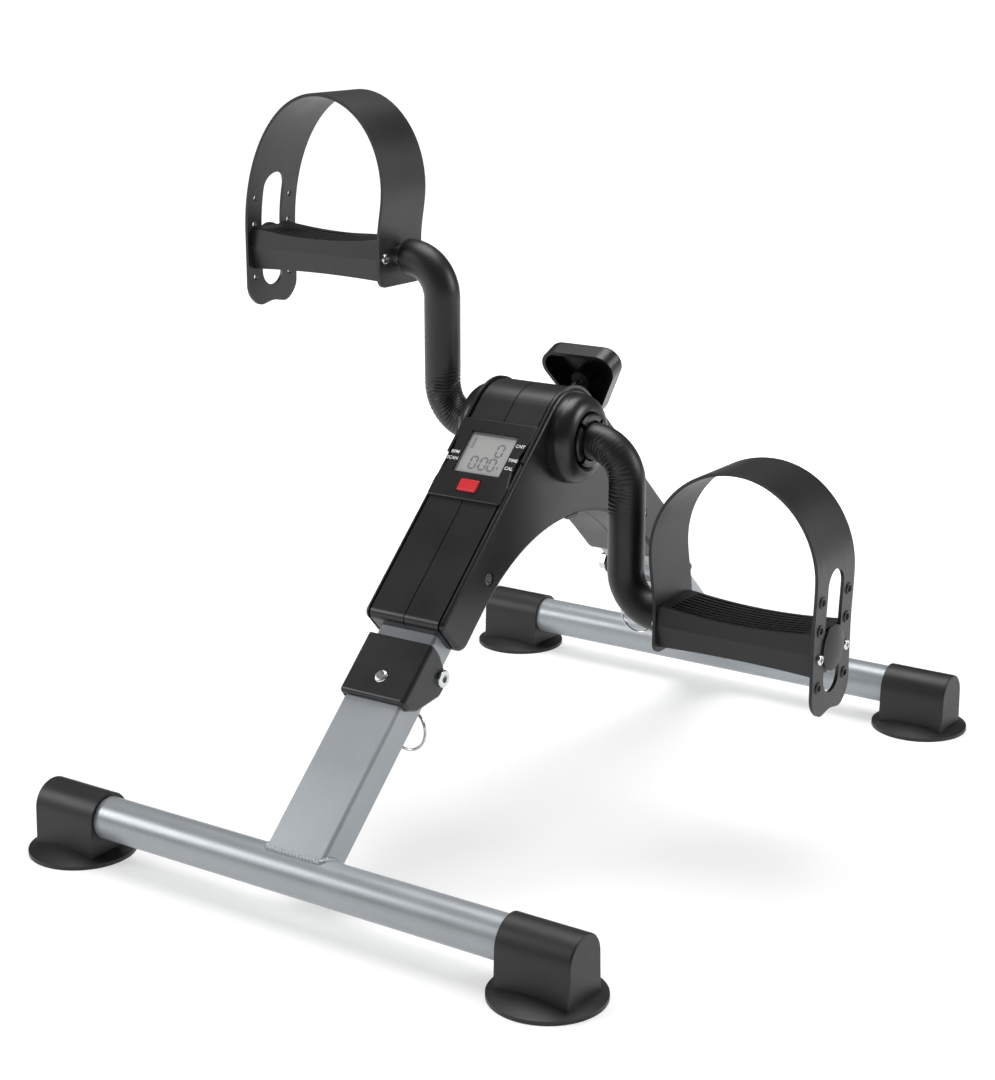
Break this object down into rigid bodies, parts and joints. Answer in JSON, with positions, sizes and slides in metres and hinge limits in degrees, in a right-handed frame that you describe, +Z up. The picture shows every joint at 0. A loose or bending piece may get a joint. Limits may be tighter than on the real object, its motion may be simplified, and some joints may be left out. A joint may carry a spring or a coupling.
{
  "type": "pedal exerciser",
  "caption": "Folding floor pedal exerciser with a bent-tube crank, strapped pedals, tension knob, display console and folding legs on base bars.",
  "frame": {"origin": "on the floor, at the centre of the footprint, under the crank axis", "axes": "+X to the user's right along the crank axis, +Y away from the user, +Z up"},
  "size_m": [0.418, 0.5348, 0.4292],
  "materials": {
    "black_plastic": "satin moulded ABS",
    "black_rubber": "satin moulded PVC",
    "foam_sleeve": "soft foam with a wrinkled skin",
    "grey_paint": "satin powder coat",
    "black_paint": "satin powder coat",
    "zinc_steel": "bright zinc plate",
    "white_nylon": "moulded nylon",
    "lcd_glass": "grey liquid-crystal panel",
    "clear_lens": "clear lens",
    "circuit_green": "solder mask",
    "cell_steel": "nickel plate",
    "wire_cover": "PVC insulation",
    "red_button": "satin moulded"
  },
  "bodies": {
    "root": {"housing_left": "black_plastic", "housing_right": "black_plastic", "shell_screws": "zinc_steel", "console_bezel": "black_plastic", "lcd_window": "clear_lens", "lcd_panel": "lcd_glass", "circuit_board": "circuit_green", "battery": "cell_steel", "reed_switch": "lcd_glass", "sensor_wire": "wire_cover", "front_upper_tube": "grey_paint", "rear_upper_tube": "grey_paint", "side_plates": "zinc_steel", "crank_bushes": "white_nylon", "friction_band": "zinc_steel", "left_hub_cover": "black_plastic", "right_hub_cover": "black_plastic", "front_bracket": "black_paint", "rear_bracket": "black_paint", "hinge_bolts": "zinc_steel"},
    "crank": {"crank_spindle": "zinc_steel", "resistance_drum": "zinc_steel", "crank_magnet": "cell_steel", "crank_cross_pins": "zinc_steel", "left_crank_arm": "zinc_steel", "left_crank_sleeve": "foam_sleeve", "left_crank_collar": "black_plastic", "left_pedal_axle": "zinc_steel", "right_crank_arm": "zinc_steel", "right_crank_sleeve": "foam_sleeve", "right_crank_collar": "black_plastic", "right_pedal_axle": "zinc_steel"},
    "left_pedal": {"left_pedal_body": "black_plastic", "left_pedal_strap": "black_rubber", "left_end_cap": "black_plastic", "left_strap_screws": "zinc_steel", "left_pedal_bushes": "white_nylon"},
    "right_pedal": {"right_pedal_body": "black_plastic", "right_pedal_strap": "black_rubber", "right_end_cap": "black_plastic", "right_strap_screws": "zinc_steel", "right_pedal_bushes": "white_nylon"},
    "front_leg": {"front_leg_tube": "grey_paint", "front_base_tube": "grey_paint", "front_foot_caps": "black_rubber", "front_pivot_sleeve": "grey_paint", "front_pin_housing": "zinc_steel"},
    "front_lock_pin": {"front_lock_pin": "zinc_steel"},
    "front_pull_ring": {"front_pull_ring": "zinc_steel"},
    "rear_leg": {"rear_leg_tube": "grey_paint", "rear_base_tube": "grey_paint", "rear_foot_caps": "black_rubber", "rear_pivot_sleeve": "grey_paint", "rear_pin_housing": "zinc_steel"},
    "rear_lock_pin": {"rear_lock_pin": "zinc_steel"},
    "rear_pull_ring": {"rear_pull_ring": "zinc_steel"},
    "tension_knob": {"tension_screw": "zinc_steel", "tension_knob": "black_plastic"},
    "tension_nut": {"tension_nut": "white_nylon"},
    "mode_button": {"mode_button": "red_button"}
  },
  "joints": [
    {"name": "crank_spin", "type": "hinge", "parent": "root", "child": "crank", "pos_m": [0, 0, 0.23], "axis": [1, 0, 0], "continuous": true},
    {"name": "left_pedal_spin", "type": "hinge", "parent": "crank", "child": "left_pedal", "pos_m": [-0.15, 0, 0.33], "axis": [1, 0, 0], "continuous": true},
    {"name": "right_pedal_spin", "type": "hinge", "parent": "crank", "child": "right_pedal", "pos_m": [0.15, 0, 0.13], "axis": [1, 0, 0], "continuous": true},
    {"name": "front_leg_fold", "type": "hinge", "parent": "root", "child": "front_leg", "pos_m": [0, -0.12958, 0.1128], "axis": [1, 0, 0], "range_deg": [0, 90]},
    {"name": "rear_leg_fold", "type": "hinge", "parent": "root", "child": "rear_leg", "pos_m": [0, 0.12958, 0.1128], "axis": [-1, 0, 0], "range_deg": [0, 90]},
    {"name": "front_pin_pull", "type": "slide", "parent": "front_leg", "child": "front_lock_pin", "axis": [0, 0.6798, -0.7334], "range_m": [0, 0.008], "stiffness_N_per_m": 600, "springref_m": -0.004},
    {"name": "rear_pin_pull", "type": "slide", "parent": "rear_leg", "child": "rear_lock_pin", "axis": [0, -0.6798, -0.7334], "range_m": [0, 0.008], "stiffness_N_per_m": 600, "springref_m": -0.004},
    {"name": "front_ring_swing", "type": "hinge", "parent": "front_lock_pin", "child": "front_pull_ring", "pos_m": [0, -0.13264, 0.09169], "axis": [1, 0, 0], "range_deg": [-60, 45]},
    {"name": "rear_ring_swing", "type": "hinge", "parent": "rear_lock_pin", "child": "rear_pull_ring", "pos_m": [0, 0.13264, 0.09169], "axis": [-1, 0, 0], "range_deg": [-60, 45]},
    {"name": "tension_knob_turn", "type": "hinge", "parent": "root", "child": "tension_knob", "pos_m": [0, 0, 0.23], "axis": [0, -0.9205, -0.3907], "range_deg": [0, 720]},
    {"name": "tension_nut_slide", "type": "slide", "parent": "root", "child": "tension_nut", "axis": [0, 0.9205, 0.3907], "range_m": [0, 0.002]},
    {"name": "mode_button_press", "type": "slide", "parent": "root", "child": "mode_button", "axis": [0, 0.6798, -0.7334], "range_m": [0, 0.0012], "stiffness_N_per_m": 200, "springref_m": -0.0006}
  ],
  "couplings": [
    {"joint": "tension_nut_slide", "follows": "tension_knob_turn", "m_per_rad": 0.00015915}
  ]
}
